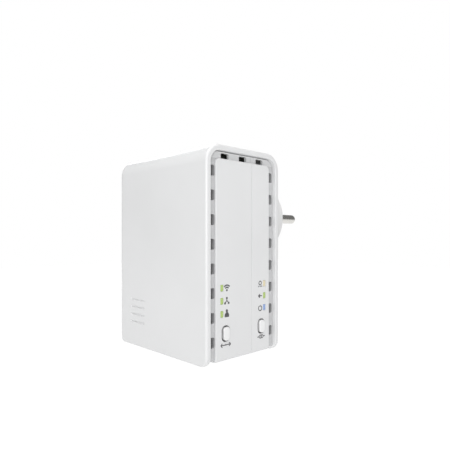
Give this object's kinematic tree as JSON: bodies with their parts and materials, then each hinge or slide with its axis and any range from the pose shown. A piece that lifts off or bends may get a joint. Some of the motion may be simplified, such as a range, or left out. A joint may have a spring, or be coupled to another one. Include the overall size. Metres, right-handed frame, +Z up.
{
  "type": "powerline adapter",
  "caption": "White plug-in powerline network adapter: upright box on a round two-pin wall plug, with a vented indicator panel, push buttons and an Ethernet jack underneath.",
  "frame": {"origin": "centre of the plug's end face, midway between the two pins", "axes": "+Y out of the plug face, into the wall socket; +Z up when plugged in; +X towards the indicator panel with the buttons"},
  "size_m": [0.0675, 0.0822, 0.092],
  "materials": {
    "shell_white": "moulded white plastic, fine satin gloss",
    "panel_white": "moulded white plastic, fine satin gloss",
    "cap_white": "moulded white plastic, satin",
    "plug_white": "moulded white plastic, satin",
    "lens_green": "lit clear plastic, yellow-green",
    "lens_orange": "lit clear plastic, pale orange",
    "lens_blue": "lit clear plastic, blue",
    "led_body": "small LED package",
    "pin_nickel": "nickel-plated brass",
    "tin_plate": "tin-plated steel",
    "screw_steel": "zinc-plated steel",
    "contact_gold": "gold-plated spring contacts",
    "copper_strip": "copper",
    "aluminium_spreader": "plain extruded aluminium",
    "ferrite_core": "pressed ferrite",
    "dark_plastic": "black moulded plastic",
    "chip_black": "moulded chip package",
    "yellow_plastic": "yellow insulating plastic",
    "blue_coating": "blue epoxy coating",
    "board_green": "glass-fibre circuit board with green mask"
  },
  "bodies": {
    "housing": {"outer_shell": "shell_white", "chassis_front_half": "panel_white", "chassis_rear_half": "panel_white", "left_light_pipe_1": "lens_green", "left_light_pipe_2": "lens_green", "left_light_pipe_3": "lens_green", "right_light_pipe_1": "lens_orange", "right_light_pipe_2": "lens_green", "right_light_pipe_3": "lens_blue", "left_led_1": "led_body", "left_led_2": "led_body", "left_led_3": "led_body", "right_led_1": "led_body", "right_led_2": "led_body", "right_led_3": "led_body", "mode_switch_body": "tin_plate", "pair_switch_body": "tin_plate", "plug_boss": "plug_white", "live_pin": "pin_nickel", "neutral_pin": "pin_nickel", "live_terminal": "copper_strip", "neutral_terminal": "copper_strip", "upper_board_screw": "screw_steel", "lower_board_screw": "screw_steel", "jack_shield": "tin_plate", "jack_insert": "dark_plastic", "jack_contacts": "contact_gold", "main_board": "board_green", "power_board": "board_green", "indicator_board": "board_green", "board_link_header": "dark_plastic", "indicator_header": "dark_plastic", "mains_fuse": "yellow_plastic", "surge_varistor": "blue_coating", "x_capacitor": "yellow_plastic", "y_capacitor": "blue_coating", "mains_choke": "copper_strip", "bridge_rectifier": "chip_black", "supply_controller_chip": "chip_black", "bulk_capacitor_1": "dark_plastic", "bulk_capacitor_2": "dark_plastic", "output_capacitor": "dark_plastic", "transformer_core": "ferrite_core", "transformer_winding": "yellow_plastic", "coupling_transformer": "dark_plastic", "processor_chip": "chip_black", "heat_spreader": "aluminium_spreader", "memory_chip": "chip_black", "powerline_chip": "chip_black", "radio_shield": "tin_plate", "clock_crystal": "tin_plate", "network_transformer": "chip_black", "upper_antenna": "tin_plate", "edge_antenna": "tin_plate"},
    "mode_button": {"mode_button_cap": "cap_white", "mode_switch_plunger": "dark_plastic"},
    "pair_button": {"pair_button_cap": "cap_white", "pair_switch_plunger": "dark_plastic"}
  },
  "joints": [
    {"name": "mode_button_press", "type": "slide", "parent": "housing", "child": "mode_button", "axis": [-1, 0, 0], "range_m": [0, 0.0004], "stiffness_N_per_m": 2000, "springref_m": -0.0005},
    {"name": "pair_button_press", "type": "slide", "parent": "housing", "child": "pair_button", "axis": [-1, 0, 0], "range_m": [0, 0.0004], "stiffness_N_per_m": 2000, "springref_m": -0.0005}
  ]
}
